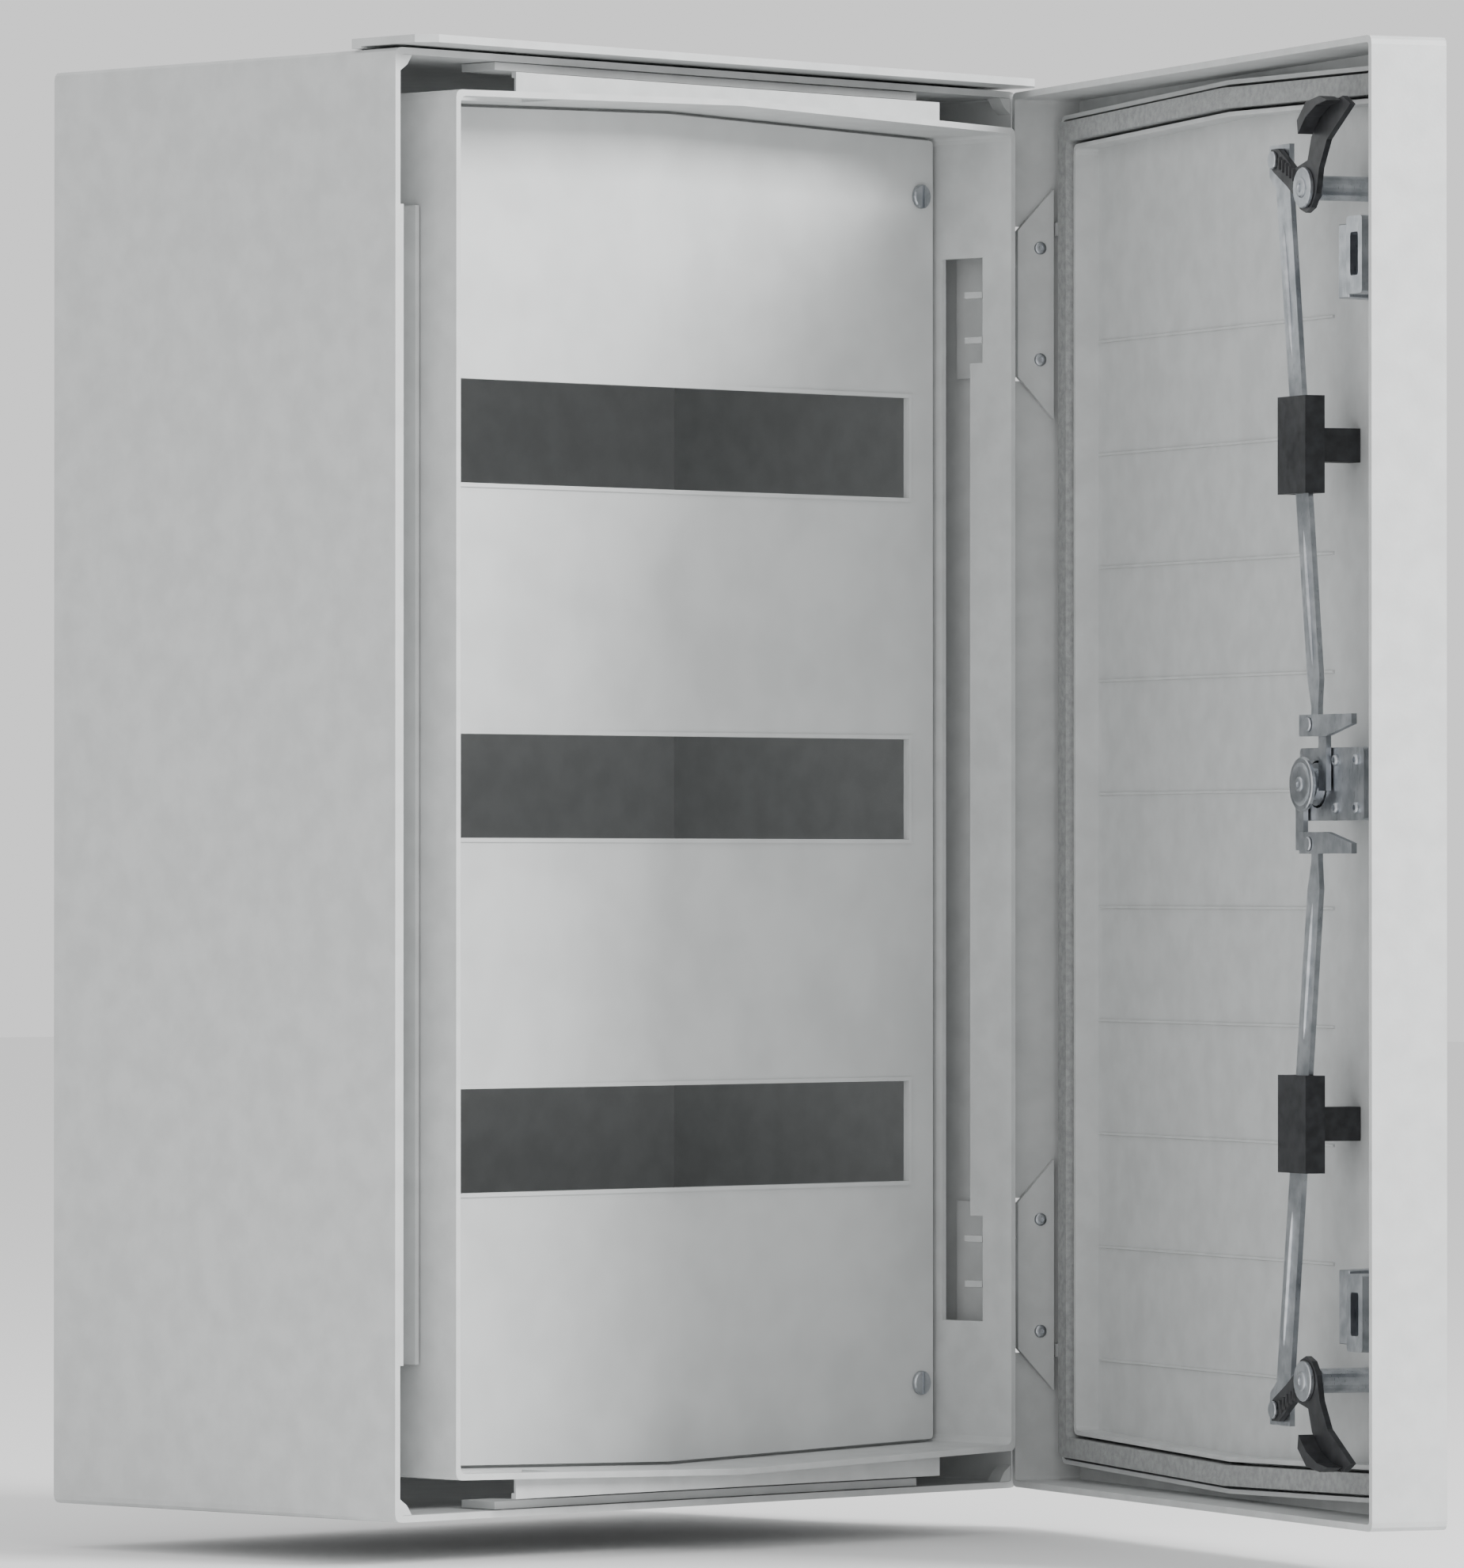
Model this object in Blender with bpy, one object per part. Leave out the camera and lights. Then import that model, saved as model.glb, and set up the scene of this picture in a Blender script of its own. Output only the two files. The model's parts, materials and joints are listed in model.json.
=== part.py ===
"""Wall enclosure with an open hinged door, a piano-hinged inner cover and a three-point latch.

Origin: centre of the back wall's outer face. +X right, +Y into the wall, +Z up.
Lengths are in millimetres and become metres where a mesh is made.
"""
import math

import bmesh
import bpy
from mathutils import Matrix, Vector

MM = 0.001
GAP = 0.3                      # running and resting clearance

# Box
WIDTH = 400.0
HEIGHT = 650.0
DEPTH = 224.0
WALL = 3.0
RIM_Y = -DEPTH
HALF_W = WIDTH / 2
HALF_H = HEIGHT / 2

# Inner frame: a deep ring with gabled top and bottom edges
FRAME_HALF_W = 180.3
FRAME_SIDE_Z = 306.3
GABLE_RISE = 4.3
FRAME_WALL = 2.7
FRAME_FRONT_Y = RIM_Y - 18.2
FRAME_BACK_Y = -188.0
FLANGE_FRONT_Y = -190.7
FLANGE_HALF_W = 165.0
FLANGE_SIDE_Z = 291.0
POST_X = 171.5
POST_Z = 297.5

# Inner cover and its piano hinge
COVER_FRONT_Y = -195.0
COVER_THICK = 2.5
COVER_LEFT_X = -168.0
COVER_RIGHT_X = 174.5
COVER_TOP_GAP = 1.5
WINDOW_W = 315.0
WINDOW_H = 46.5
ROW_PITCH = 158.7
PIANO_X = -172.0
PIANO_Y = -197.5
PIANO_R = 2.2
PIANO_HALF = 285.0
PIANO_KNUCKLES = 11
SCREW_X = 166.0
SCREW_Z = 276.0

# Door, in its own frame: u across from the hinge axis, t outwards from the rim plane
AXIS_X = 196.5
AXIS_Y = RIM_Y
DOOR_OPEN_DEG = 66.5
DOOR_U0 = 1.0
DOOR_U1 = 392.0
DOOR_T0 = 0.5
DOOR_DEPTH = 36.0
DOOR_HALF_H = 324.3
PANEL_T = DOOR_T0 + DOOR_DEPTH - WALL
LIP_T = 22.0
GASKET_T = 18.7
HINGE_Z = 226.0
HINGE_HALF = 34.0
KNUCKLE_R = 2.8
PIN_R = 1.3

# Three-point latch, in the door's frame
LOCK_U = 318.0
PINION_R = 7.0
LUG_U = 322.0
LUG_Z = 26.2
PIVOT_U = 319.0
PIVOT_Z = 262.0
CRANK_U = -33.0
CRANK_Z = 14.0
FRONT_LAYER = (3.0, 5.6)
BACK_LAYER = (5.9, 8.3)

MATERIALS = {
    "polyester_grey": ((0.48, 0.49, 0.49, 1), 0.45, 0.0),
    "cover_plastic": ((0.60, 0.61, 0.61, 1), 0.50, 0.0),
    "bright_steel": ((0.62, 0.62, 0.63, 1), 0.28, 1.0),
    "black_plastic": ((0.03, 0.03, 0.032, 1), 0.45, 0.0),
    "foam_gasket": ((0.12, 0.12, 0.12, 1), 0.90, 0.0),
}


def clear_scene():
    for obj in list(bpy.data.objects):
        bpy.data.objects.remove(obj, do_unlink=True)


def make_materials():
    made = {}
    for name, (colour, roughness, metallic) in MATERIALS.items():
        mat = bpy.data.materials.new(name)
        mat.use_nodes = True
        shader = mat.node_tree.nodes["Principled BSDF"]
        shader.inputs["Base Color"].default_value = colour
        shader.inputs["Roughness"].default_value = roughness
        shader.inputs["Metallic"].default_value = metallic
        made[name] = mat
    return made


def along_z(a, b, h):
    return a, b, h


def along_y(a, b, h):
    return a, h, b


def along_x(a, b, h):
    return h, a, b


def door_plan(u, t, z):
    return -u, -t, z


def door_face(u, z, t):
    return -u, -t, z


def rectangle(a0, a1, b0, b1):
    return [(a0, b0), (a1, b0), (a1, b1), (a0, b1)]


def circle(a, b, radius, steps=20):
    turn = math.tau / steps
    return [(a + radius * math.cos(i * turn), b + radius * math.sin(i * turn)) for i in range(steps)]


def rounded(points, radius, steps=3):
    """Round each corner of a closed outline with a short arc."""
    result = []
    for i, corner in enumerate(points):
        here = Vector(corner)
        back = (Vector(points[i - 1]) - here).normalized()
        ahead = (Vector(points[(i + 1) % len(points)]) - here).normalized()
        half = back.angle(ahead) / 2
        if half > math.radians(80):
            result.append(tuple(here))
            continue
        run = radius / math.tan(half)
        start = here + back * run
        end = here + ahead * run
        for k in range(steps + 1):
            s = k / steps
            result.append(tuple(start * (1 - s) ** 2 + here * 2 * s * (1 - s) + end * s ** 2))
    return result


def gable(half_w, side_z, radius=3.5, centre=0.0):
    """Outline whose top and bottom edges rise to a shallow ridge at mid-width."""
    peak = side_z + GABLE_RISE * half_w / FRAME_HALF_W
    corners = [(centre - half_w, -side_z), (centre, -peak), (centre + half_w, -side_z),
               (centre + half_w, side_z), (centre, peak), (centre - half_w, side_z)]
    return rounded(corners, radius)


def mesh_object(name, bm, material=None, parent=None):
    bmesh.ops.remove_doubles(bm, verts=bm.verts, dist=1e-6)
    bmesh.ops.recalc_face_normals(bm, faces=bm.faces)
    mesh = bpy.data.meshes.new(name)
    bm.to_mesh(mesh)
    bm.free()
    obj = bpy.data.objects.new(name, mesh)
    bpy.context.scene.collection.objects.link(obj)
    if material is not None:
        mesh.materials.append(material)
    obj.parent = parent
    return obj


def smooth(obj, angle=35):
    obj.data.shade_smooth()
    obj.data.set_sharp_from_angle(angle=math.radians(angle))
    return obj


def add_prism(bm, outline, low, high, place):
    rings = []
    for level in (low, high):
        rings.append([bm.verts.new(Vector(place(a, b, level)) * MM) for a, b in outline])
    bm.faces.new(rings[0])
    bm.faces.new(rings[1])
    for i in range(len(outline)):
        j = (i + 1) % len(outline)
        bm.faces.new((rings[0][i], rings[0][j], rings[1][j], rings[1][i]))


def prism(name, outline, low, high, place, material=None, parent=None):
    bm = bmesh.new()
    add_prism(bm, outline, low, high, place)
    return mesh_object(name, bm, material, parent)


def ring(name, outer, inner, low, high, place, material=None, parent=None):
    """Frame-shaped prism between two outlines with equal point counts."""
    bm = bmesh.new()
    loops = []
    for outline in (outer, inner):
        for level in (low, high):
            loops.append([bm.verts.new(Vector(place(a, b, level)) * MM) for a, b in outline])
    count = len(outer)
    for first, second in ((0, 1), (1, 3), (3, 2), (2, 0)):
        for i in range(count):
            j = (i + 1) % count
            bm.faces.new((loops[first][i], loops[first][j], loops[second][j], loops[second][i]))
    return mesh_object(name, bm, material, parent)


def turned(name, profile, centre, place, material=None, parent=None, steps=20):
    """Turn (radius, height) points, both ends on the axis, about a centre line."""
    bm = bmesh.new()
    levels = []
    for radius, height in profile:
        if radius < 1e-6:
            levels.append([bm.verts.new(Vector(place(centre[0], centre[1], height)) * MM)])
        else:
            points = circle(centre[0], centre[1], radius, steps)
            levels.append([bm.verts.new(Vector(place(a, b, height)) * MM) for a, b in points])
    for lower, upper in zip(levels, levels[1:]):
        for i in range(steps):
            j = (i + 1) % steps
            corners = [lower[i % len(lower)], lower[j % len(lower)],
                       upper[j % len(upper)], upper[i % len(upper)]]
            unique = list(dict.fromkeys(corners))
            bm.faces.new(unique)
    return smooth(mesh_object(name, bm, material, parent))


def combine(target, other, operation):
    other.hide_render = True
    other.hide_viewport = False
    other.display_type = "WIRE"
    modifier = target.modifiers.new(operation.lower(), "BOOLEAN")
    modifier.operation = operation
    modifier.solver = "EXACT"
    modifier.object = other
    return target


def cut(target, name, outline, low, high, place):
    cutter = prism("cut_" + name, outline, low, high, place, parent=target.parent)
    return combine(target, cutter, "DIFFERENCE")


def join(target, name, outline, low, high, place):
    piece = prism("add_" + name, outline, low, high, place, parent=target.parent)
    return combine(target, piece, "UNION")


def signs(low="lower", high="upper"):
    return ((low, -1), (high, 1))


def make_box(mats):
    outline = rounded(rectangle(-HALF_W, HALF_W, -HALF_H, HALF_H), 4.0)
    box = prism("enclosure_box", outline, RIM_Y, 0, along_y, mats["polyester_grey"])
    hollow = rounded(rectangle(-HALF_W + WALL, HALF_W - WALL, -HALF_H + WALL, HALF_H - WALL), 2.0)
    cut(box, "box_hollow", hollow, RIM_Y - 5, -WALL, along_y)
    for side, s in signs():
        notch = rectangle(193.5, 202, RIM_Y - 2, RIM_Y + KNUCKLE_R + GAP)
        cut(box, "box_notch_" + side, notch, s * HINGE_Z - HINGE_HALF - 2, s * HINGE_Z + HINGE_HALF + 2, along_z)
        for x in (-150, 150):
            cut(box, f"wall_hole_{side}_{x}", circle(x, s * 270, 4, 12), -WALL - 2, 2, along_y)
    return box


def make_hood(mats):
    front = FRAME_FRONT_Y - 1.3
    profile = [(front, 326.3), (front, 329.8), (-196, 329.8), (-196, 325.3), (-202, 325.3), (-202, 326.3)]
    hood = prism("rain_hood", profile, -HALF_W, HALF_W, along_x, mats["polyester_grey"])
    for side, s in signs("left", "right"):
        corner = [(s * 190, front - 2), (s * 203, front - 2), (s * 203, front + 10)]
        cut(hood, "hood_corner_" + side, corner, 320, 335, along_z)


def make_keeper(mats):
    profile = [(-196.4, -222.5), (-193.6, -222.5), (-193.6, -207), (-183.5, -207), (-183.5, -219.5),
               (-181.2, -219.5), (-181.2, -204.5), (-196.4, -204.5)]
    prism("keeper_strip", profile, -256, 256, along_z, mats["polyester_grey"])


def make_frame(mats):
    outer = gable(FRAME_HALF_W, FRAME_SIDE_Z)
    inner = gable(FRAME_HALF_W - FRAME_WALL, FRAME_SIDE_Z - FRAME_WALL)
    opening = gable(FLANGE_HALF_W, FLANGE_SIDE_Z)
    frame = prism("inner_frame", outer, FRAME_FRONT_Y, FRAME_BACK_Y, along_y, mats["polyester_grey"])
    cut(frame, "frame_well", inner, FRAME_FRONT_Y - 5, FLANGE_FRONT_Y, along_y)
    cut(frame, "frame_opening", opening, FLANGE_FRONT_Y - 5, FRAME_BACK_Y + 5, along_y)
    for side, s in signs():
        ledge = [(-136.6, s * 306), (0, s * 309.2), (136.6, s * 306), (136.6, s * 316.5), (-136.6, s * 316.5)]
        join(frame, "frame_ledge_" + side, ledge, -235.2, -232.4, along_y)
        catch = rectangle(-176, -112, -234, -214)
        low, high = sorted((s * 300, s * 314))
        cut(frame, "claw_slot_" + side, catch, low, high, along_z)
        low, high = sorted((s * 198, s * 247))
        cut(frame, "wide_slot_" + side, rectangle(-224, -198, low, high), 175, 183, along_x)
        for end, x in (("left", -POST_X), ("right", POST_X)):
            hole = circle(x, s * POST_Z, 2.2, 12)
            cut(frame, f"frame_hole_{side}_{end}", hole, FLANGE_FRONT_Y - 2, FRAME_BACK_Y + 2, along_y)
    cut(frame, "side_slot", rectangle(-216, -198, -202, 202), 174, 184, along_x)


def make_posts(mats):
    for side, s in signs():
        for end, x in (("left", -POST_X), ("right", POST_X)):
            name = f"{side}_{end}"
            z = s * POST_Z
            post = prism("frame_post_" + name, rectangle(x - 5, x + 5, z - 5, z + 5),
                         FRAME_BACK_Y + GAP, -WALL - GAP, along_y, mats["polyester_grey"])
            cut(post, "post_hole_" + name, circle(x, z, 2.2, 12), FRAME_BACK_Y - 2, -172, along_y)
            profile = [(0, -192.2), (2.8, -192.2), (3.5, -191.7), (3.5, -191.0), (1.9, -191.0), (1.9, -176),
                       (0, -175)]
            turned("frame_screw_" + name, profile, (x, z), along_y, mats["bright_steel"], steps=12)


def make_ledges(mats):
    for side, s in (("top", 1), ("bottom", -1)):
        low, high = sorted((s * 318.2, s * 321.7))
        prism(side + "_ledge", rectangle(-136, 136, low, high), -221, -200, along_y, mats["polyester_grey"])


def make_hinge_fixed(mats):
    for side, s in signs():
        z = s * HINGE_Z
        low, high = z - HINGE_HALF, z + HINGE_HALF
        bracket = prism("hinge_bracket_" + side, rectangle(194, 196.7, -222.5, -192), low, high, along_z,
                        mats["polyester_grey"])
        join(bracket, "bracket_knuckle_" + side, circle(AXIS_X, AXIS_Y, KNUCKLE_R, 16), low, high, along_z)
        gap_box = rectangle(190, 202, -230, RIM_Y + KNUCKLE_R + GAP)
        cut(bracket, "bracket_gap_" + side, gap_box, z - 17 - GAP, z + 17 + GAP, along_z)
        cut(bracket, "bracket_bore_" + side, circle(AXIS_X, AXIS_Y, PIN_R + GAP, 12), low - 2, high + 2, along_z)
        pin = [(0, low - 1.4), (PIN_R, low - 1.4), (PIN_R, high + GAP), (2.2, high + GAP), (2.2, high + 1.5),
               (0, high + 1.8)]
        turned("hinge_pin_" + side, pin, (AXIS_X, AXIS_Y), along_z, mats["bright_steel"], steps=12)


def piano_leaf(name, outline, first, mats, parent=None, origin=(0.0, 0.0)):
    """One leaf with every second knuckle left on it."""
    def place(a, b, h):
        return a - origin[0], b - origin[1], h
    leaf = prism(name, outline, -PIANO_HALF, PIANO_HALF, place, mats["bright_steel"], parent)
    join(leaf, name + "_roll", circle(PIANO_X, PIANO_Y, PIANO_R, 12), -PIANO_HALF, PIANO_HALF, place)
    cut(leaf, name + "_bore", circle(PIANO_X, PIANO_Y, 1.3, 10), -PIANO_HALF - 2, PIANO_HALF + 2, place)
    length = 2 * PIANO_HALF / PIANO_KNUCKLES
    clearance = PIANO_R + GAP
    around = rectangle(PIANO_X - clearance, PIANO_X + clearance, PIANO_Y - clearance, PIANO_Y + clearance)
    for k in range(first, PIANO_KNUCKLES, 2):
        low = -PIANO_HALF + k * length - GAP
        high = low + length + 2 * GAP
        cut(leaf, f"{name}_gap_{k}", around, low, high, place)


def make_cover(mats, cover_empty):
    origin = (PIANO_X, PIANO_Y)

    def place(a, b, h):
        return a - origin[0], h - origin[1], b

    back = COVER_FRONT_Y + COVER_THICK
    left, right = COVER_LEFT_X, COVER_RIGHT_X
    slope = GABLE_RISE / FRAME_HALF_W
    peak = FRAME_SIDE_Z - FRAME_WALL - COVER_TOP_GAP + GABLE_RISE
    z_left = peak - slope * -left
    z_right = peak - slope * right
    corners = [(left, -z_left), (0, -peak), (right, -z_right), (right, z_right), (0, peak), (left, z_left)]
    cover = prism("cover_plate", rounded(corners, 2.0), COVER_FRONT_Y, back, place, mats["cover_plastic"],
                  cover_empty)
    for row in (-1, 0, 1):
        z = row * ROW_PITCH
        window = rectangle(-WINDOW_W / 2, WINDOW_W / 2, z - WINDOW_H / 2, z + WINDOW_H / 2)
        cut(cover, f"window_{row + 2}", window, COVER_FRONT_Y - 4, back + 4, place)
    for side, s in signs():
        cut(cover, "screw_hole_" + side, circle(SCREW_X, s * SCREW_Z, 4.3, 16), COVER_FRONT_Y - 4, back + 4, place)
    piano_leaf("piano_leaf_cover", rectangle(PIANO_X, -160, COVER_FRONT_Y - 1.5, COVER_FRONT_Y - GAP), 0, mats,
               cover_empty, origin)
    piano_leaf("piano_leaf_frame", rectangle(-177.3, PIANO_X, -198.4, -197.2), 1, mats)
    pin = [(0, -PIANO_HALF), (1.0, -PIANO_HALF), (1.0, PIANO_HALF), (0, PIANO_HALF)]
    turned("piano_pin", pin, (PIANO_X, PIANO_Y), along_z, mats["bright_steel"], steps=8)
    for side, s in signs():
        empty = bpy.data.objects.new("turn_" + side, None)
        bpy.context.scene.collection.objects.link(empty)
        empty.parent = cover_empty
        empty.location = Vector((SCREW_X - PIANO_X, 0, s * SCREW_Z)) * MM
        head = [(0, COVER_FRONT_Y - 2.2), (5.0, COVER_FRONT_Y - 2.2), (5.6, COVER_FRONT_Y - 1.6),
                (5.6, COVER_FRONT_Y - GAP), (3.9, COVER_FRONT_Y - GAP), (3.9, COVER_FRONT_Y + 3.6),
                (0, COVER_FRONT_Y + 3.6)]
        screw = turned("cover_screw_" + side, head, (0, -PIANO_Y), lambda a, b, h: (a, h - PIANO_Y, b + PIANO_Y),
                       mats["bright_steel"], empty, steps=16)
        cut(screw, "screw_slot_" + side, rectangle(-0.8, 0.8, -5.2, 5.2), COVER_FRONT_Y - 4, COVER_FRONT_Y - 1.2,
            lambda a, b, h: (a, h - PIANO_Y, b))


def make_door(mats, door):
    shell = prism("door_shell", rounded(rectangle(DOOR_U0, DOOR_U1, -DOOR_HALF_H, DOOR_HALF_H), 4.0),
                  DOOR_T0, DOOR_T0 + DOOR_DEPTH, door_face, mats["polyester_grey"], door)
    pocket = rectangle(DOOR_U0 + WALL, DOOR_U1 - WALL, -DOOR_HALF_H + WALL, DOOR_HALF_H - WALL)
    cut(shell, "door_pocket", rounded(pocket, 2.0), DOOR_T0 - 5, PANEL_T, door_face)
    for label, half, z in (("outer", 187.5, 313.5), ("inner", 173.5, 299.5)):
        lip = ring("add_lip_" + label, gable(half, z, 4.0, AXIS_X), gable(half - 2, z - 2, 3.0, AXIS_X),
                   LIP_T, PANEL_T + 1.5, door_face, None, door)
        combine(shell, lip, "UNION")
    for side, s in signs():
        z = s * HINGE_Z
        cut(shell, "door_notch_" + side, rectangle(-3, 4.2, -4, 4.5), z - HINGE_HALF - 2, z + HINGE_HALF + 2,
            door_plan)
    cut(shell, "lock_hole", circle(LOCK_U, 0, 11, 20), PANEL_T - 3, PANEL_T + 8, door_face)
    ring("door_gasket", gable(184, 310, 4.0, AXIS_X), gable(175, 301, 3.0, AXIS_X), GASKET_T,
         PANEL_T - GAP, door_face, mats["foam_gasket"], door)
    for side, s in signs():
        z = s * HINGE_Z
        wing = prism("hinge_wing_" + side, [(0.8, z - 34), (0.8, z + 34), (19, z + 53.5), (19, z - 53.5)], 4.3, 7.0,
                     lambda t, b, u: (-u, -t, b), mats["polyester_grey"], door)
        join(wing, "wing_strap_" + side, rectangle(0, 6.0, 0.8, 2.6), z - 17, z + 17, door_plan)
        join(wing, "wing_knuckle_" + side, circle(0, 0, KNUCKLE_R, 16), z - 17, z + 17, door_plan)
        cut(wing, "wing_bore_" + side, circle(0, 0, PIN_R + GAP, 12), z - 20, z + 20, door_plan)
        low, high = sorted((s * 258, s * 264))
        prism("door_tab_" + side, rectangle(4.5, 8.6, low, high), 20, PANEL_T - GAP, door_face,
              mats["polyester_grey"], door)


def make_lock(mats, door, lock):
    case = prism("lock_case", rounded(rectangle(300, 366, -16, 16), 2), 9, PANEL_T - GAP, door_face,
                 mats["bright_steel"], door)
    cut(case, "case_bore", circle(LOCK_U, 0, 10.5, 20), 5, PANEL_T + 5, door_face)
    shaft = [(0, 0.8), (11.5, 0.8), (12.0, 1.3), (12.0, 2.7), (4.0, 2.7), (4.0, 5.9), (PINION_R, 5.9),
             (PINION_R, 8.3), (9.5, 8.3), (9.5, 36.8), (14, 36.8), (14, 38.6), (13, 39.3), (0, 39.3)]
    insert = turned("lock_insert", shaft, (0, 0), door_face, mats["bright_steel"], lock, steps=24)
    bit = [(-4, -4), (4, -4), (4, 4), (-4, 4)]
    cut(insert, "key_socket", bit, 28, 42, door_face)


def make_rod(side, s, mats, door):
    t0, t1 = FRONT_LAYER
    b0, b1 = BACK_LAYER
    lug = [(312, s * 21.0), (312, s * 30.5), (366, s * 30.5), (366, s * 26.0), (340, s * 21.0)]
    rack = prism("lock_rack_" + side, lug, t0, t1, door_face, mats["bright_steel"], door)
    if s > 0:
        arm = rectangle(325.9, 333.9, -3, 29)
        web = rectangle(326.2, 333.6, 22, 28.8)
    else:
        arm = [(302.2, 3), (302.2, -29), (316, -29), (316, -23), (310.1, -23), (310.1, 3)]
        web = rectangle(312.3, 315.8, -28.8, -23.2)
    join(rack, "rack_arm_" + side, arm, b0, b1, door_face)
    join(rack, "rack_web_" + side, web, t1 - 0.4, b0 + 0.4, door_face)
    cut(rack, "rack_hole_" + side, circle(LUG_U, s * LUG_Z, 3.2, 14), -2, 12, door_face)
    end_u = PIVOT_U + CRANK_U
    end_z = PIVOT_Z + CRANK_Z
    bar = [(318.5, s * 21.0), (325.5, s * 21.0), (325.5, s * 34), (327.0, s * 46), (end_u + 10, s * (end_z - 10)),
           (end_u + 10, s * (end_z + 7)), (end_u - 11, s * (end_z + 7)), (end_u - 11, s * (end_z - 7)),
           (end_u - 4, s * (end_z - 12)), (314.5, s * 46), (318.5, s * 34)]
    rod = prism("lock_rod_" + side, bar, b0, b1, door_face, mats["bright_steel"], door)
    slot = rounded(rectangle(end_u - 6.5, end_u + 4.5, s * end_z - 3.2, s * end_z + 3.2), 2.0)
    cut(rod, "rod_slot_" + side, slot, b0 - 3, b1 + 3, door_face)
    cut(rod, "rod_hole_" + side, circle(LUG_U, s * LUG_Z, 2.9, 14), -2, 12, door_face)
    rivet = [(0, 1.9), (2.8, 1.9), (3.2, 2.3), (3.2, t0 - GAP), (2.4, t0 - GAP), (2.4, b1 + 0.2), (0, b1 + 0.2)]
    turned("rod_rivet_" + side, rivet, (LUG_U, s * LUG_Z), door_face, mats["bright_steel"], door, steps=12)


def make_hook(side, s, mats, door, hook):
    t0, t1 = FRONT_LAYER

    def flip(points):
        return [(u, s * z) for u, z in points]

    lever = [(-38, 12), (-36, 19), (-29, 19), (-12, 9), (2, 12), (6, 22), (18, 34), (38, 38), (46, 34), (34, 27),
             (22, 20), (14, 8), (11, -3), (6, -9), (0, -11), (-6, -9), (-10, -4), (-20, 2), (-34, 9)]
    body = prism("latch_hook_" + side, flip(lever), t0, t1, door_face, mats["black_plastic"], hook)
    cut(body, "hook_bore_" + side, circle(0, 0, 3.9, 14), -2, 12, door_face)
    cut(body, "crank_hole_" + side, circle(CRANK_U, s * CRANK_Z, 2.9, 14), -2, 12, door_face)
    crank = [(0, 1.4), (3.6, 1.4), (4.0, 1.8), (4.0, t0 - GAP), (2.5, t0 - GAP), (2.5, 8.8), (0, 8.8)]
    turned("crank_pin_" + side, crank, (CRANK_U, s * CRANK_Z), door_face, mats["bright_steel"], hook, steps=14)
    claw = [(8, 23), (16, 30), (27, 34.5), (38, 36), (30, 38.3), (16, 36.5), (7, 29)]
    prism("latch_claw_" + side, flip(claw), -4.5, t0 - GAP, door_face, mats["black_plastic"], hook)
    disc = [(0, 0.9), (8.6, 0.9), (9.0, 1.3), (9.0, t0 - GAP), (3.5, t0 - GAP), (3.5, 9.0), (5.5, 9.0),
            (5.5, PANEL_T - GAP), (0, PANEL_T - GAP)]
    turned("latch_pivot_" + side, disc, (PIVOT_U, s * PIVOT_Z), door_face, mats["bright_steel"], door, steps=20)
    block = rounded(rectangle(346, 362, *sorted((s * 214, s * 248))), 2)
    bracket = prism("latch_bracket_" + side, block, 10, PANEL_T - GAP, door_face, mats["bright_steel"], door)
    recess = rounded(rectangle(350, 358, *sorted((s * 222, s * 241))), 1.5)
    cut(bracket, "bracket_recess_" + side, recess, 6, 20, door_face)
    guide = rectangle(290.5, 319.5, *sorted((s * 128, s * 171)))
    plate = prism("rod_guide_" + side, guide, 2.6, 12.0, door_face, mats["black_plastic"], door)
    foot = rectangle(299, 311, *sorted((s * 142, s * 157)))
    join(plate, "guide_foot_" + side, foot, 11.0, PANEL_T - GAP, door_face)
    channel = rectangle(293, 317, *sorted((s * 120, s * 180)))
    cut(plate, "guide_channel_" + side, channel, 5.2, 9.4, door_face)


def moving_empty(name, location, parent=None, turn=0.0):
    empty = bpy.data.objects.new(name, None)
    bpy.context.scene.collection.objects.link(empty)
    empty.parent = parent
    empty.location = Vector(location) * MM
    empty.rotation_euler = (0, 0, math.radians(turn))
    return empty


def main():
    clear_scene()
    mats = make_materials()
    make_box(mats)
    make_hood(mats)
    make_keeper(mats)
    make_frame(mats)
    make_posts(mats)
    make_ledges(mats)
    make_hinge_fixed(mats)
    make_cover(mats, moving_empty("cover_axis", (PIANO_X, PIANO_Y, 0)))
    door = moving_empty("door_axis", (AXIS_X, AXIS_Y, 0), turn=DOOR_OPEN_DEG)
    make_door(mats, door)
    make_lock(mats, door, moving_empty("lock_axis", (-LOCK_U, 0, 0), door))
    for side, s in signs():
        make_rod(side, s, mats, door)
        make_hook(side, s, mats, door, moving_empty("hook_axis_" + side, (-PIVOT_U, 0, s * PIVOT_Z), door))


main()
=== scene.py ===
"""Looks for a wall enclosure with an open door, seen from the front left.

Sizes are in millimetres, scaled by MM. Door details are placed in the door's own directions: u across
the door from its hinge, t outwards from its rim, and z up. The other pieces use the model's x, y and z.
"""
import json
import math

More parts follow.
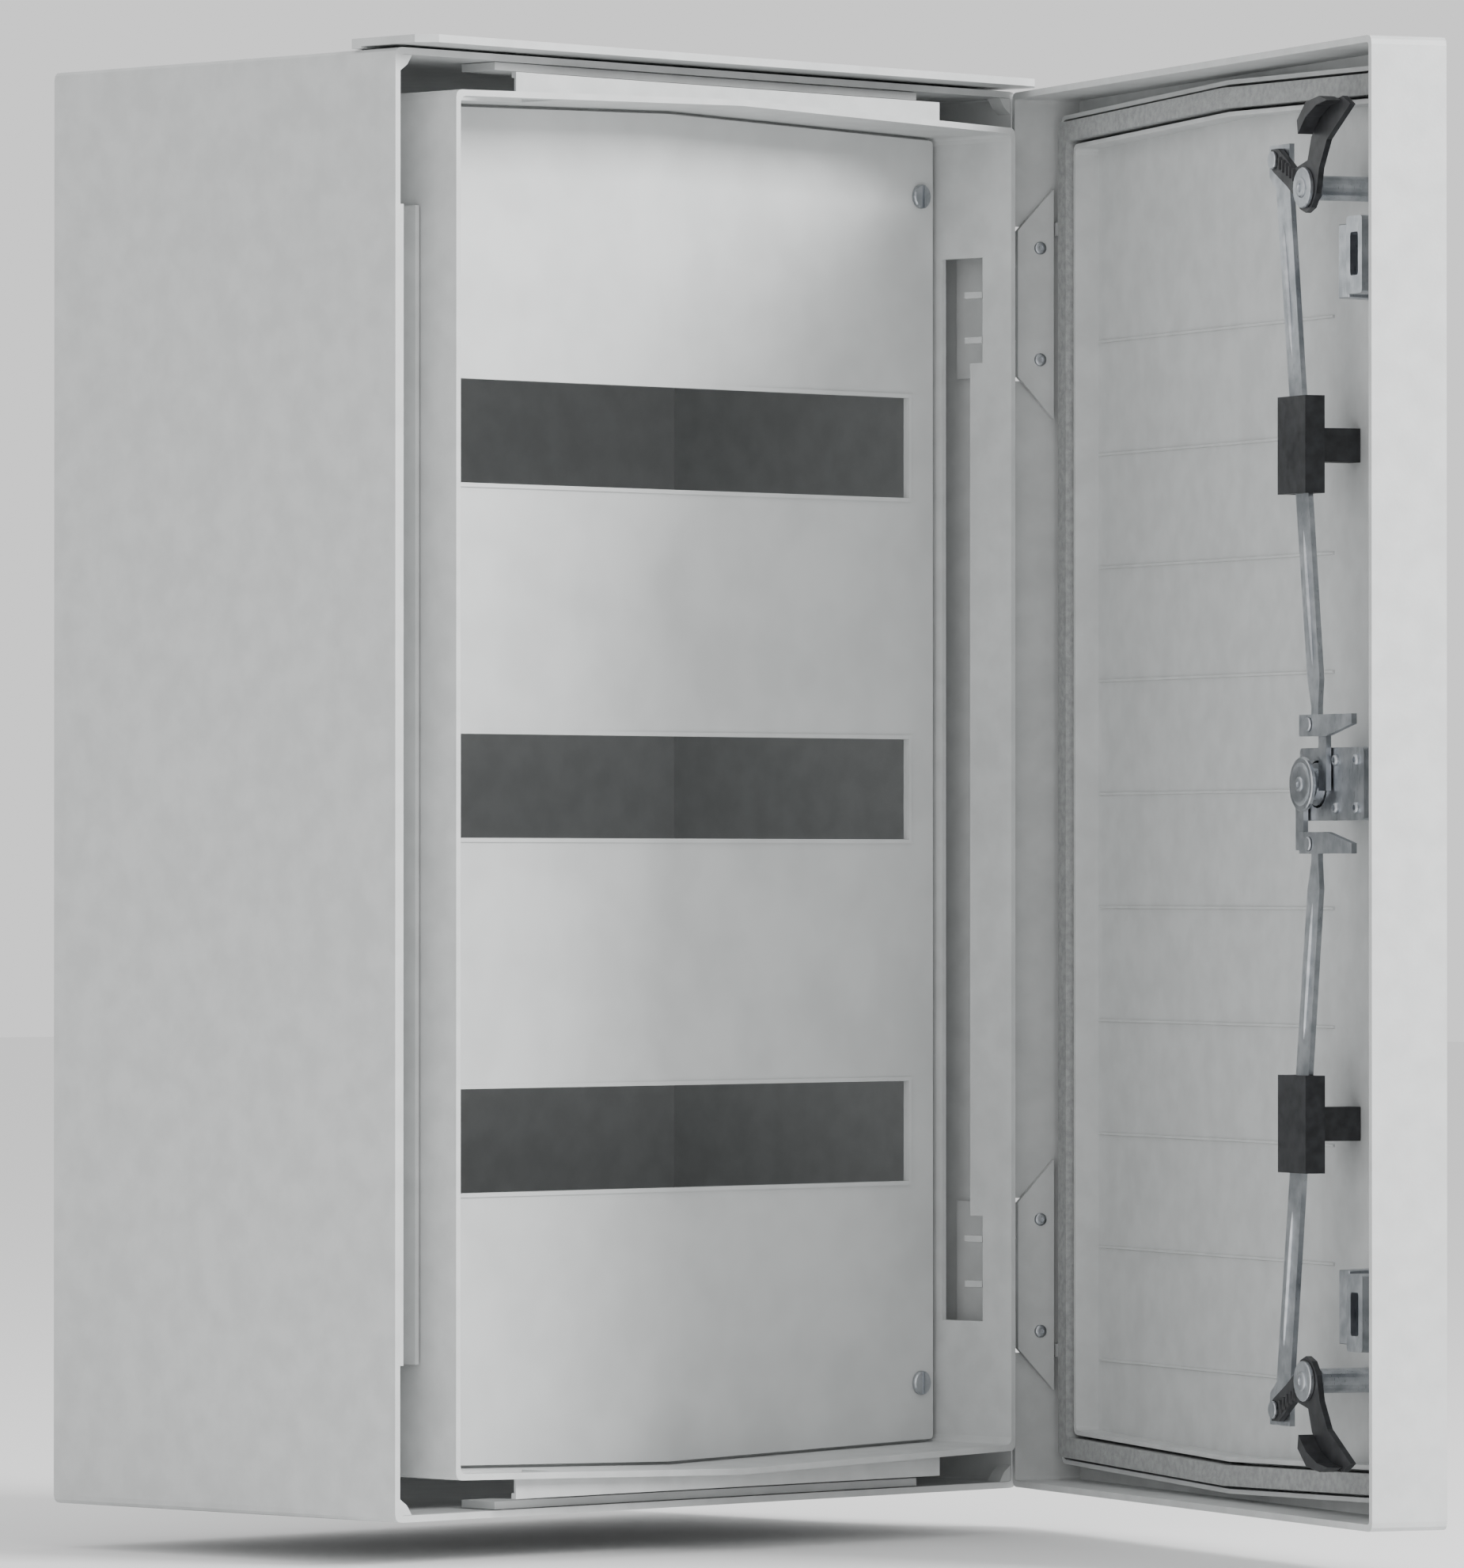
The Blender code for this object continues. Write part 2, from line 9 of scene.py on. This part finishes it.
import bmesh
import bpy
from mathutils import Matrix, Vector


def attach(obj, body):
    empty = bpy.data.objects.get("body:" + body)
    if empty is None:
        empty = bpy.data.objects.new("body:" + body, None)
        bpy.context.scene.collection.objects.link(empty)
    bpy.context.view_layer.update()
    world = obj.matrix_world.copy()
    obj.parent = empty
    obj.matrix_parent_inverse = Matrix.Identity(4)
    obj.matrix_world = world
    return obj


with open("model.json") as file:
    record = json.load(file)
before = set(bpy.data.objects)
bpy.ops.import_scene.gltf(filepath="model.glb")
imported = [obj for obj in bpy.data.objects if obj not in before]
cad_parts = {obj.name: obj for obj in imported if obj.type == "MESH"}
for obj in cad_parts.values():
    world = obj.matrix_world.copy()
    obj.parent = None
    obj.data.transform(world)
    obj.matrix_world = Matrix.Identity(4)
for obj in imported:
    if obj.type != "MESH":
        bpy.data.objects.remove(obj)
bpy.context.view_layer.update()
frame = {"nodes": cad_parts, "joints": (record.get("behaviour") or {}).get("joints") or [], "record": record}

MM = 0.001
JOINTS = {joint["name"]: joint for joint in frame["joints"]}
NODES = frame["nodes"]
SIDES = (("upper", 1), ("lower", -1))


# ---------------------------------------------------------------- colour and materials

SRGB_LINEAR_END = 0.04045     # below this, the sRGB curve is a straight line
CLOUD_SPREAD = (0.35, 0.65)   # the part of a noise that a two-colour mottle uses
WEAR_SPREAD = (0.3, 0.7)      # the part of a noise that a change of gloss uses


def linear(code):
    """An sRGB hex colour as linear RGBA."""
    channels = [int(code[i:i + 2], 16) / 255 for i in (0, 2, 4)]
    return [c / 12.92 if c <= SRGB_LINEAR_END else ((c + 0.055) / 1.055) ** 2.4 for c in channels] + [1.0]


def add(tree, kind, settings=None, inputs=None):
    """Add a node; each input is a value, or an output socket to link."""
    node = tree.nodes.new(kind)
    for key, value in (settings or {}).items():
        setattr(node, key, value)
    for key, value in (inputs or {}).items():
        if isinstance(value, bpy.types.NodeSocket):
            tree.links.new(value, node.inputs[key])
        else:
            node.inputs[key].default_value = value
    return node


def blank(name):
    """A new material, its node tree, its shader, and where its pattern is measured."""
    mat = bpy.data.materials.new(name)
    mat.use_nodes = True
    tree = mat.node_tree
    shader = tree.nodes["Principled BSDF"]
    place = add(tree, "ShaderNodeTexCoord").outputs["Object"]
    return mat, tree, shader, place


def noise(tree, place, size, detail):
    """A cloudy pattern whose clouds are about the given size."""
    node = add(tree, "ShaderNodeTexNoise", None, {"Vector": place, "Scale": 1 / size, "Detail": detail})
    return node.outputs["Fac"]


def cells(tree, place, size):
    """The distance to the middle of the nearest cell, in a pattern of round cells."""
    node = add(tree, "ShaderNodeTexVoronoi", None, {"Vector": place, "Scale": 1 / size})
    return node.outputs["Distance"]


def mottle(tree, place, size, dark, light, detail=4.0):
    """Two close colours mixed by a cloudy pattern of the given size."""
    ramp = add(tree, "ShaderNodeValToRGB", None, {"Fac": noise(tree, place, size, detail)})
    for stop, position, code in zip(ramp.color_ramp.elements, CLOUD_SPREAD, (dark, light)):
        stop.position = position
        stop.color = linear(code)
    return ramp.outputs["Color"]


def worn_roughness(tree, place, size, low, high):
    """Gloss that changes slowly over the surface, as handling leaves it."""
    span = add(tree, "ShaderNodeMapRange", None, {
        "Value": noise(tree, place, size, 3.0),
        "From Min": WEAR_SPREAD[0], "From Max": WEAR_SPREAD[1], "To Min": low, "To Max": high})
    return span.outputs["Result"]


def bump(tree, shader, height, depth, strength):
    """Raise the surface by a pattern of the given depth."""
    node = add(tree, "ShaderNodeBump", None, {"Height": height, "Distance": depth, "Strength": strength})
    tree.links.new(node.outputs["Normal"], shader.inputs["Normal"])


def moulded_polyester():
    """Hot-pressed glass-reinforced polyester: satin, faintly cloudy, with a fine leathery grain."""
    mat, tree, shader, place = blank("moulded_polyester")
    tree.links.new(mottle(tree, place, 14 * MM, "bfc1c1", "c8caca"), shader.inputs["Base Color"])
    tree.links.new(worn_roughness(tree, place, 60 * MM, 0.40, 0.54), shader.inputs["Roughness"])
    grain = noise(tree, place, 0.9 * MM, 6.0)
    pits = cells(tree, place, 1.6 * MM)
    both = add(tree, "ShaderNodeMath", {"operation": "ADD"}, {0: grain, 1: pits})
    bump(tree, shader, both.outputs["Value"], 0.05 * MM, 0.5)
    shader.inputs["IOR"].default_value = 1.54
    return mat


def moulded_abs():
    """Injection-moulded ABS: smoother and paler than the box, with a spark-eroded fine texture."""
    mat, tree, shader, place = blank("moulded_abs")
    tree.links.new(mottle(tree, place, 30 * MM, "cacccc", "d3d5d5", 2.0), shader.inputs["Base Color"])
    tree.links.new(worn_roughness(tree, place, 80 * MM, 0.42, 0.50), shader.inputs["Roughness"])
    bump(tree, shader, noise(tree, place, 0.5 * MM, 4.0), 0.03 * MM, 0.5)
    shader.inputs["IOR"].default_value = 1.53
    return mat


def zinc_plated_steel():
    """Pressed steel, zinc plated: bright and slightly blue, with drawn lines along its length."""
    mat, tree, shader, place = blank("zinc_plated_steel")
    tree.links.new(mottle(tree, place, 9 * MM, "a4a8ad", "c6c9cd"), shader.inputs["Base Color"])
    stretch = add(tree, "ShaderNodeMapping", None, {"Vector": place, "Scale": (1.0, 1.0, 0.04)})
    lines = noise(tree, stretch.outputs["Vector"], 0.5 * MM, 3.0)
    span = add(tree, "ShaderNodeMapRange", None, {"Value": lines, "To Min": 0.20, "To Max": 0.42})
    tree.links.new(span.outputs["Result"], shader.inputs["Roughness"])
    bump(tree, shader, lines, 0.02 * MM, 0.4)
    shader.inputs["Metallic"].default_value = 1.0
    return mat


def black_polyamide():
    """Glass-filled polyamide: near black, satin, with a dusty bloom and rubbed patches."""
    mat, tree, shader, place = blank("black_polyamide")
    tree.links.new(mottle(tree, place, 5 * MM, "1c1d1f", "2d2e31"), shader.inputs["Base Color"])
    tree.links.new(worn_roughness(tree, place, 12 * MM, 0.30, 0.48), shader.inputs["Roughness"])
    bump(tree, shader, noise(tree, place, 0.6 * MM, 5.0), 0.04 * MM, 0.5)
    return mat


def foamed_polyurethane():
    """Foamed-in seal: mid grey, matt, with open cells about a millimetre across."""
    mat, tree, shader, place = blank("foamed_polyurethane")
    tree.links.new(mottle(tree, place, 3 * MM, "8f9191", "a2a4a4"), shader.inputs["Base Color"])
    bump(tree, shader, cells(tree, place, 1.1 * MM), 0.25 * MM, 0.8)
    shader.inputs["Roughness"].default_value = 0.92
    return mat


def floor_paint():
    """Plain matt studio paint."""
    mat, _, shader, _ = blank("floor_paint")
    shader.inputs["Base Color"].default_value = linear("eeeeee")
    shader.inputs["Roughness"].default_value = 0.9
    return mat


MATERIALS = {
    "polyester_grey": moulded_polyester(),
    "cover_plastic": moulded_abs(),
    "bright_steel": zinc_plated_steel(),
    "black_plastic": black_polyamide(),
    "foam_gasket": foamed_polyurethane(),
}


def finish_cad_nodes():
    """Give every CAD node the material of its slot."""
    slots = {row["node"]: row["material_slot"] for row in frame["record"]["subparts"]}
    for name, obj in NODES.items():
        obj.data.materials.clear()
        obj.data.materials.append(MATERIALS[slots[name]])


# ---------------------------------------------------------------- places

UP = Vector((0, 0, 1))
DOOR_AXIS = Vector(JOINTS["door_hinge"]["pos_m"])
OUT = Vector(JOINTS["lock_turn"]["axis"])
ACROSS = OUT.cross(UP)


def on_door(u, t, z):
    """A point on the door, u across from its hinge, t out from its rim and z up, in millimetres."""
    return DOOR_AXIS + (ACROSS * u + OUT * t + UP * z) * MM


def in_model(x, y, z):
    """A point in the model's own axes, in millimetres."""
    return Vector((x, y, z)) * MM


# ---------------------------------------------------------------- piece makers

SHARP_ANGLE = math.radians(40)
RIDGE_DRAFT = 0.35


def finish_piece(name, bm, body, slot, bevel=0.0):
    """Turn a bmesh into a named piece that rides on a body."""
    bmesh.ops.recalc_face_normals(bm, faces=bm.faces)
    mesh = bpy.data.meshes.new(name)
    bm.to_mesh(mesh)
    bm.free()
    mesh.shade_smooth()
    mesh.set_sharp_from_angle(angle=SHARP_ANGLE)
    mesh.materials.append(MATERIALS[slot])
    piece = bpy.data.objects.new(name, mesh)
    bpy.context.scene.collection.objects.link(piece)
    if bevel:
        edge = piece.modifiers.new("soft_edge", "BEVEL")
        edge.width = bevel
        edge.segments = 2
        edge.limit_method = "ANGLE"
    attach(piece, body)


def add_loft(bm, rings):
    """Skin a list of equal rings and close both ends."""
    loops = [[bm.verts.new(point) for point in ring] for ring in rings]
    for lower, upper in zip(loops, loops[1:]):
        for i in range(len(lower)):
            j = (i + 1) % len(lower)
            bm.faces.new((lower[i], lower[j], upper[j], upper[i]))
    bm.faces.new(loops[0])
    bm.faces.new(loops[-1])


def add_ridge(bm, place, a0, a1, b0, b1, base, top, draft=RIDGE_DRAFT):
    """A raised strip with drafted sides; place maps (a, height, b) to a point."""
    rings = []
    for height, inset in ((base, 0.0), ((base + top) / 2, draft * 0.5), (top, draft)):
        low_a, high_a = a0 + inset, a1 - inset
        low_b, high_b = b0 + inset, b1 - inset
        rings.append([place(low_a, height, low_b), place(high_a, height, low_b),
                      place(high_a, height, high_b), place(low_a, height, high_b)])
    add_loft(bm, rings)


def add_dome(bm, place, a, b, radius, base, top, steps=20, socket=0.0):
    """A pan head: straight side, rounded shoulder and, if asked, a round-bottomed recess."""
    rise = top - base
    levels = [(radius, 0.0), (radius, 0.4), (radius * 0.93, 0.75), (radius * 0.78, 0.95), (radius * 0.5, 1.0)]
    if socket:
        levels += [(socket, 1.0), (socket * 0.9, 0.35), (socket * 0.3, 0.3)]
    rings = []
    for r, part in levels:
        height = base + rise * part
        turns = [math.tau * i / steps for i in range(steps)]
        rings.append([place(a + r * math.cos(turn), height, b + r * math.sin(turn)) for turn in turns])
    add_loft(bm, rings)


# ---------------------------------------------------------------- door details, in u, t and z

PANEL_T = 33.5
PANEL_RIBS = 10
RIB_SPAN_U = (27, 284)
RIB_TOP_Z = 207.8
RIB_PITCH = 52.5
RIB_HALF_WIDTH = 0.8
RIB_T = (PANEL_T - 0.05, PANEL_T - 0.9)

CASE_SCREW_U = (338, 359)
CASE_SCREW_Z = 10.5
CASE_SCREW_R = 2.6
CASE_SCREW_T = (8.97, 7.4)

LOCK_U = 318
LOCK_STEP_R = 9.6
LOCK_STEP_T = (0.82, 0.35)
LOCK_BOSS_R = 3.4
LOCK_BOSS_T = (0.36, -0.5)

ROD_BEAD_SPANS = ((52, 112), (188, 248))
ROD_START_Z = 46
ROD_START_U = 320.7
ROD_SLOPE = 0.155
ROD_FACE_T = 5.88
BEAD_STEPS = 12
BEAD_HALF_WIDTH = 1.6
BEAD_RISE = 1.1
BEAD_END = 0.05               # the bead's size at its two ends, as a part of its full size

PIVOT_U = 319
PIVOT_Z = 262
PIVOT_CAP_R = 4.4
PIVOT_CAP_T = (0.92, 0.0)

GRIP_RIBS = 5
GRIP_START_U = PIVOT_U - 27
GRIP_START_Z = PIVOT_Z + 12.6
GRIP_PITCH_U = 3.6
GRIP_DROP_Z = 1.5
GRIP_WIDTH = 1.5
GRIP_Z = (-3.2, 2.6)
GRIP_T = (3.02, 1.9)

TONGUE_U = (333, 345)
TONGUE_Z = (212, 246)
TONGUE_T = (PANEL_T - 0.3, 12.0)
TONGUE_DRAFT = 0.8
TONGUE_BEVEL = 0.4

HINGE_Z = 226
STUD_OFFSET_Z = 26
STUD_T = 12
STUD_R = 3.0
STUD_U = (7.0, 8.3)


def door_panel_ribs():
    """Fine moulded lines across the inside of the door."""
    bm = bmesh.new()
    for k in range(PANEL_RIBS):
        z = RIB_TOP_Z - k * RIB_PITCH
        add_ridge(bm, on_door, *RIB_SPAN_U, z - RIB_HALF_WIDTH, z + RIB_HALF_WIDTH, *RIB_T)
    finish_piece("door_panel_ribs", bm, "door", "polyester_grey")


def lock_case_screws():
    """Four pan-head screws that hold the lock case."""
    bm = bmesh.new()
    for u in CASE_SCREW_U:
        for z in (-CASE_SCREW_Z, CASE_SCREW_Z):
            add_dome(bm, on_door, u, z, CASE_SCREW_R, *CASE_SCREW_T, socket=1.2)
    finish_piece("lock_case_screws", bm, "door", "bright_steel")


def lock_cover_boss():
    """Pressed step and centre boss on the latch's round cover."""
    bm = bmesh.new()
    add_dome(bm, on_door, LOCK_U, 0, LOCK_STEP_R, *LOCK_STEP_T, steps=32)
    add_dome(bm, on_door, LOCK_U, 0, LOCK_BOSS_R, *LOCK_BOSS_T, steps=24, socket=1.5)
    finish_piece("lock_cover_boss", bm, "lock", "bright_steel")


def rod_beads(side, sign):
    """Stiffening beads pressed into a rod, left off where it slides through its guide."""
    bm = bmesh.new()
    for z0, z1 in ROD_BEAD_SPANS:
        rings = []
        for i in range(BEAD_STEPS + 1):
            z = z0 + (z1 - z0) * i / BEAD_STEPS
            u = ROD_START_U - (z - ROD_START_Z) * ROD_SLOPE
            from_end = min(i, BEAD_STEPS - i) / BEAD_STEPS
            fade = math.sin(math.pi * from_end) ** 0.35 if from_end else BEAD_END
            half = BEAD_HALF_WIDTH * fade
            crest = ROD_FACE_T - BEAD_RISE * fade
            rings.append([on_door(u - half, ROD_FACE_T, sign * z), on_door(u - half * 0.6, crest, sign * z),
                          on_door(u + half * 0.6, crest, sign * z), on_door(u + half, ROD_FACE_T, sign * z)])
        add_loft(bm, rings)
    finish_piece("rod_bead_" + side, bm, side + "_rod", "bright_steel")


def hook_ribs(side, sign):
    """Grip ribs across the lever's arm."""
    bm = bmesh.new()
    for k in range(GRIP_RIBS):
        u = GRIP_START_U + k * GRIP_PITCH_U
        z = GRIP_START_Z - k * GRIP_DROP_Z
        add_ridge(bm, lambda a, h, b: on_door(a, h, sign * b), u, u + GRIP_WIDTH,
                  z + GRIP_Z[0], z + GRIP_Z[1], *GRIP_T)
    finish_piece("hook_ribs_" + side, bm, side + "_hook", "black_plastic")


def pivot_caps(side, sign):
    """The cap on the pivot that a lever turns about."""
    bm = bmesh.new()
    add_dome(bm, on_door, PIVOT_U, sign * PIVOT_Z, PIVOT_CAP_R, *PIVOT_CAP_T, steps=24, socket=2.0)
    finish_piece("pivot_cap_" + side, bm, "door", "bright_steel")


def latch_tongues(side, sign):
    """Steel tongue that stands on the door beside a latch pivot."""
    bm = bmesh.new()
    add_ridge(bm, lambda a, h, b: on_door(a, h, sign * b), *TONGUE_U, *TONGUE_Z, *TONGUE_T, TONGUE_DRAFT)
    finish_piece("latch_tongue_" + side, bm, "door", "bright_steel", TONGUE_BEVEL * MM)


def wing_studs(side, sign):
    """Two studs on a hinge wing, near its ends."""
    bm = bmesh.new()
    for offset in (-STUD_OFFSET_Z, STUD_OFFSET_Z):
        add_dome(bm, lambda a, h, b: on_door(h, a, b), STUD_T, sign * HINGE_Z + offset, STUD_R, *STUD_U,
                 socket=1.3)
    finish_piece("wing_studs_" + side, bm, "door", "bright_steel")


# ---------------------------------------------------------------- cover and box details, in x, y and z

COVER_FRONT_Y = -195.0
WINDOW_ROWS = (-1, 0, 1)
ROW_PITCH = 158.7
LIP_OUTER = (159.4, 25.1)     # half width and half height
LIP_WIDTH = 1.8
LIP_RISE = 0.9

PIANO_X = -164.5
PIANO_RIVETS = 8
PIANO_BOTTOM_Z = -245
PIANO_PITCH = 70
PIANO_RIVET_R = 2.0
PIANO_RIVET_Y = (-196.48, -197.4)

GUSSET_Y = (-223.6, -216)
GUSSET_OUTLINE = ((196.9, 321.9), (189.5, 321.9), (192.5, 317.5), (196.9, 314.5))   # x and z

SHELF_Z = (207, 228)
SHELF_THICK = 3.5
SHELF_Y = (-223.5, -212)
SHELF_X = (180.0, 177.9)
SHELF_DRAFT = 0.3


def window_lips():
    """A raised lip around each window of the inner cover."""
    bm = bmesh.new()
    half_x, half_z = LIP_OUTER
    crest_y = COVER_FRONT_Y - LIP_RISE
    section = ((0.0, COVER_FRONT_Y), (0.0, crest_y), (LIP_WIDTH, crest_y), (LIP_WIDTH, COVER_FRONT_Y))
    for row in WINDOW_ROWS:
        z = row * ROW_PITCH
        loops = []
        for inset, y in section:
            x = half_x - inset
            low_z, high_z = z - half_z + inset, z + half_z - inset
            corners = ((-x, low_z), (x, low_z), (x, high_z), (-x, high_z))
            loops.append([bm.verts.new(in_model(corner_x, y, corner_z)) for corner_x, corner_z in corners])
        for first, second in zip(loops, loops[1:] + loops[:1]):
            for k in range(4):
                m = (k + 1) % 4
                bm.faces.new((first[k], first[m], second[m], second[k]))
    finish_piece("window_lips", bm, "cover", "cover_plastic")


def piano_rivets():
    """Rivet heads that fix the piano hinge's leaf to the inner cover."""
    bm = bmesh.new()
    for k in range(PIANO_RIVETS):
        z = PIANO_BOTTOM_Z + k * PIANO_PITCH
        add_dome(bm, in_model, PIANO_X, z, PIANO_RIVET_R, *PIANO_RIVET_Y)
    finish_piece("piano_rivets", bm, "cover", "bright_steel")


def corner_gussets():
    """Webs that stiffen the rim's four inner corners."""
    bm = bmesh.new()
    for sx in (-1, 1):
        for sz in (-1, 1):
            add_loft(bm, [[in_model(sx * x, y, sz * z) for x, z in GUSSET_OUTLINE] for y in GUSSET_Y])
    finish_piece("corner_gussets", bm, "cabinet", "polyester_grey")


def slot_shelves():
    """Small catch tabs in the frame's right-hand slots."""
    bm = bmesh.new()
    for sign in (-1, 1):
        for z in SHELF_Z:
            low, high = sorted((sign * z, sign * (z + SHELF_THICK)))
            add_ridge(bm, lambda a, h, b: in_model(h, a, b), *SHELF_Y, low, high, *SHELF_X, SHELF_DRAFT)
    finish_piece("slot_shelves", bm, "cabinet", "polyester_grey")


# ---------------------------------------------------------------- studio, in metres

FOCAL_LENGTH = 255.6
CAMERA_PLACE = (-3.5915, -3.7634, -0.0406)
CAMERA_YAW = 45.51
CAMERA_PITCH = 0.477

FLOOR_Z = -0.345
FLOOR_HALF = 12
SKY_STRENGTH = 1.15
LIGHTS = (                    # name, place, target, width, power in watts
    ("key", (1.0, -3.4, 1.7), (0, -0.2, 0), 1.4, 210),
    ("fill", (-3.4, -1.2, 1.2), (0, -0.1, 0), 2.2, 5),
    ("top", (0, -0.6, 2.6), (0, -0.2, 0), 2.0, 12),
)


def camera():
    data = bpy.data.cameras.new("camera")
    data.lens = FOCAL_LENGTH
    data.sensor_width = 36
    data.clip_end = 50
    obj = bpy.data.objects.new("camera", data)
    obj.location = CAMERA_PLACE
    obj.rotation_euler = (math.radians(90 + CAMERA_PITCH), 0, math.radians(-CAMERA_YAW))
    bpy.context.scene.collection.objects.link(obj)
    bpy.context.scene.camera = obj


def area_light(name, place, target, size, power):
    data = bpy.data.lights.new(name, "AREA")
    data.size = size
    data.energy = power
    obj = bpy.data.objects.new(name, data)
    obj.location = place
    obj.rotation_euler = (Vector(target) - Vector(place)).to_track_quat("-Z", "Y").to_euler()
    bpy.context.scene.collection.objects.link(obj)


def studio():
    """A pale floor under the box, an even sky and three soft lights."""
    bm = bmesh.new()
    bmesh.ops.create_grid(bm, x_segments=2, y_segments=2, size=FLOOR_HALF)
    mesh = bpy.data.meshes.new("floor")
    bm.to_mesh(mesh)
    bm.free()
    mesh.materials.append(floor_paint())
    floor = bpy.data.objects.new("floor", mesh)
    floor.location.z = FLOOR_Z
    bpy.context.scene.collection.objects.link(floor)
    world = bpy.data.worlds.new("studio")
    world.use_nodes = True
    sky = world.node_tree.nodes["Background"]
    sky.inputs["Color"].default_value = linear("f4f4f4")
    sky.inputs["Strength"].default_value = SKY_STRENGTH
    bpy.context.scene.world = world
    for light in LIGHTS:
        area_light(*light)


finish_cad_nodes()
door_panel_ribs()
lock_case_screws()
lock_cover_boss()
for side_name, side_sign in SIDES:
    rod_beads(side_name, side_sign)
    hook_ribs(side_name, side_sign)
    pivot_caps(side_name, side_sign)
    latch_tongues(side_name, side_sign)
    wing_studs(side_name, side_sign)
window_lips()
piano_rivets()
corner_gussets()
slot_shelves()
camera()
studio()
